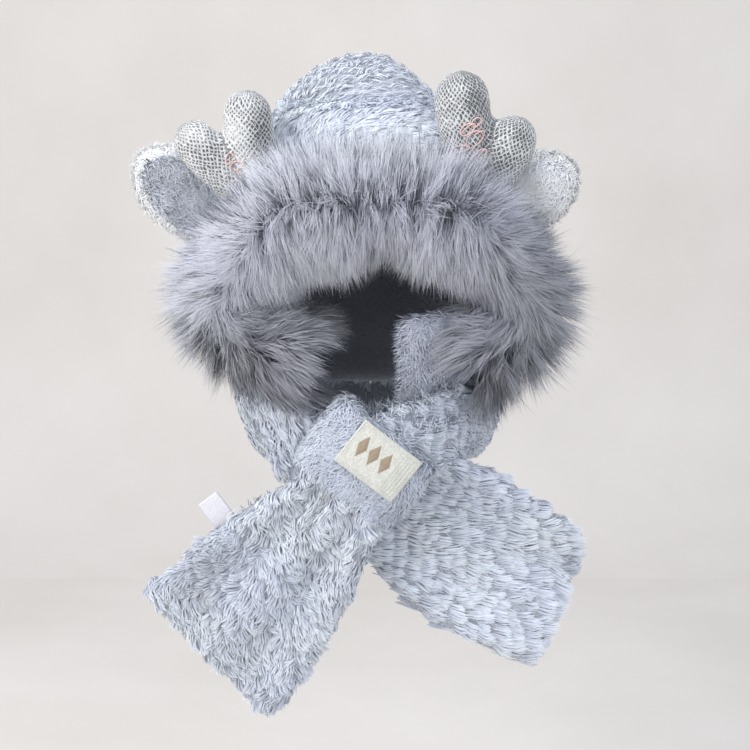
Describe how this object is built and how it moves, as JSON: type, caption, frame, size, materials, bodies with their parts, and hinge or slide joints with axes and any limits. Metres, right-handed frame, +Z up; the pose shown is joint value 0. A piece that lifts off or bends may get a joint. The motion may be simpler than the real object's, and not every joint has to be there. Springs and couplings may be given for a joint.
{
  "type": "animal hood scarf",
  "caption": "Plush hood with a long fur ruff, soft ears, stuffed woven antlers and a crossed scarf whose tail passes through a padded keeper.",
  "frame": {"origin": "inner top of the hood, where the crown of a head sits", "axes": "+Z up, -Y towards the front, +X to the right as seen from the front"},
  "size_m": [0.4036, 0.2796, 0.5796],
  "materials": {
    "plush": "short faux rabbit pile in small tufts, pale blue-grey",
    "front_plush": "short faux rabbit pile in cross rows, pale blue-grey",
    "fur": "long silver-tipped fur, grey at the root",
    "facing_plush": "smooth short plush, lavender-grey",
    "ear_grey": "grey short plush",
    "ear_pale": "pale blue short plush",
    "ear_rim": "white curly fleece",
    "woven": "open woven wool tweed, white over grey",
    "keeper_plush": "smooth short plush, pale blue-grey",
    "patch_cloth": "off-white twill with stitched lines",
    "tape": "white satin tape"
  },
  "bodies": {
    "root": {"hood_front_panel": "front_plush", "hood_back_panel": "plush", "fur_ruff": "fur", "throat_facing": "facing_plush", "ear_left_face": "ear_grey", "ear_left_back": "ear_rim", "ear_right_face": "ear_pale", "ear_right_back": "ear_rim", "antler_left": "woven", "antler_right": "woven", "scarf_front_half": "plush", "scarf_rear_half": "plush", "keeper_band": "keeper_plush", "label_patch": "patch_cloth", "care_label": "tape"}
  },
  "joints": []
}
